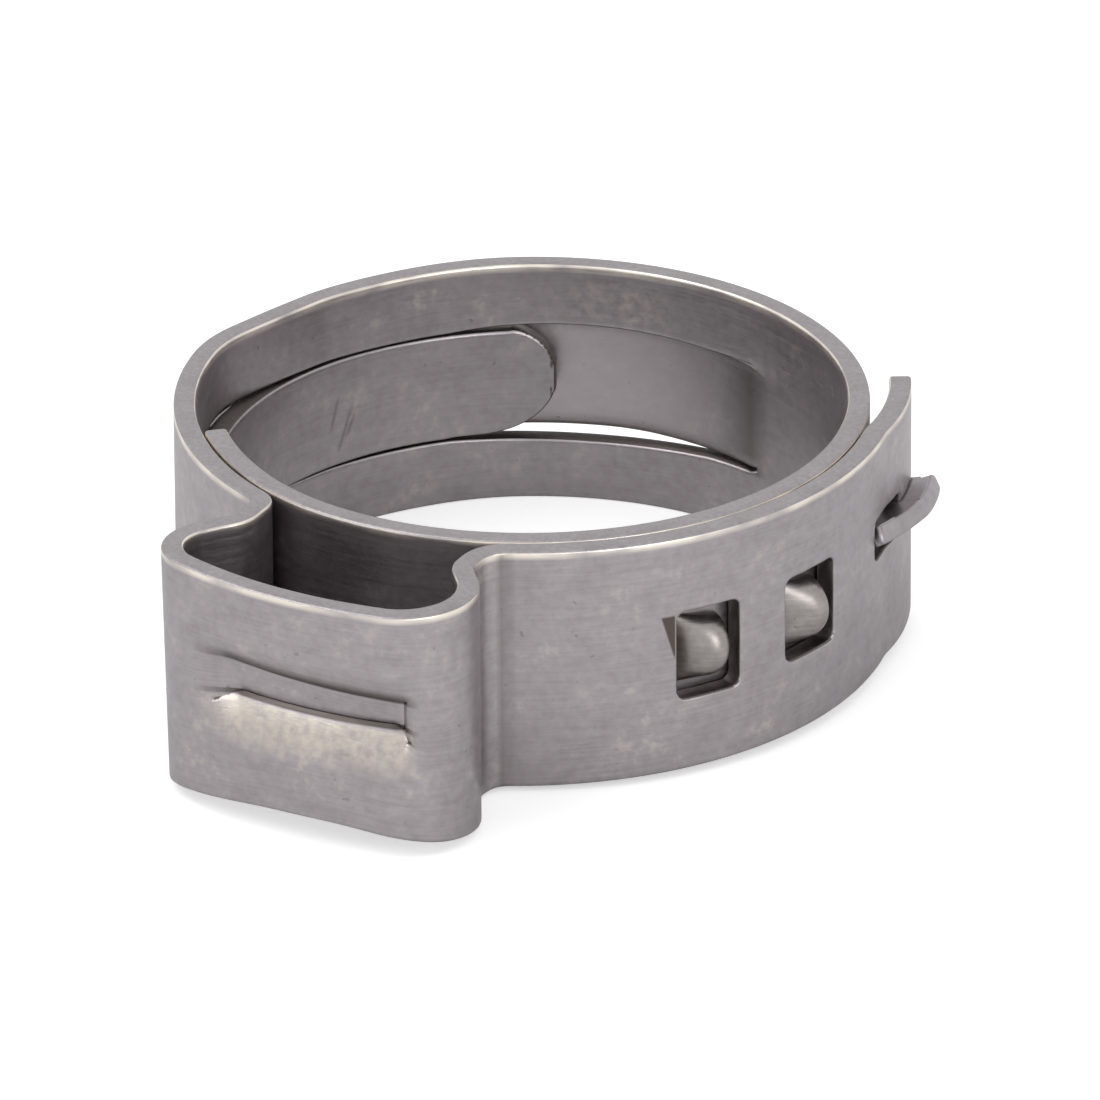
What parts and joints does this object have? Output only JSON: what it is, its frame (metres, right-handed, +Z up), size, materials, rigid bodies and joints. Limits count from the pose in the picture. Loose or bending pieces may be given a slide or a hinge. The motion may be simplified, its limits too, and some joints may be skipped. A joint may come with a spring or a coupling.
{
  "type": "clamp ring",
  "caption": "Pinch clamp ring coiled from one steel strip, with a raised ear to squeeze, a tongue that runs in a channel, and pressed hooks that stand in windows.",
  "frame": {"origin": "on the ring's axis, in the plane of the strip's lower edge", "axes": "+Z up along the ring's axis, -Y out through the middle of the ear, +X to the right when the ear faces the viewer"},
  "size_m": [0.0195, 0.0237, 0.007],
  "materials": {
    "strip_steel": "satin rolled stainless strip with sheared edges, light scuffs along the edges and the ear"
  },
  "bodies": {
    "root": {"clamp_ring": "strip_steel"}
  },
  "joints": []
}
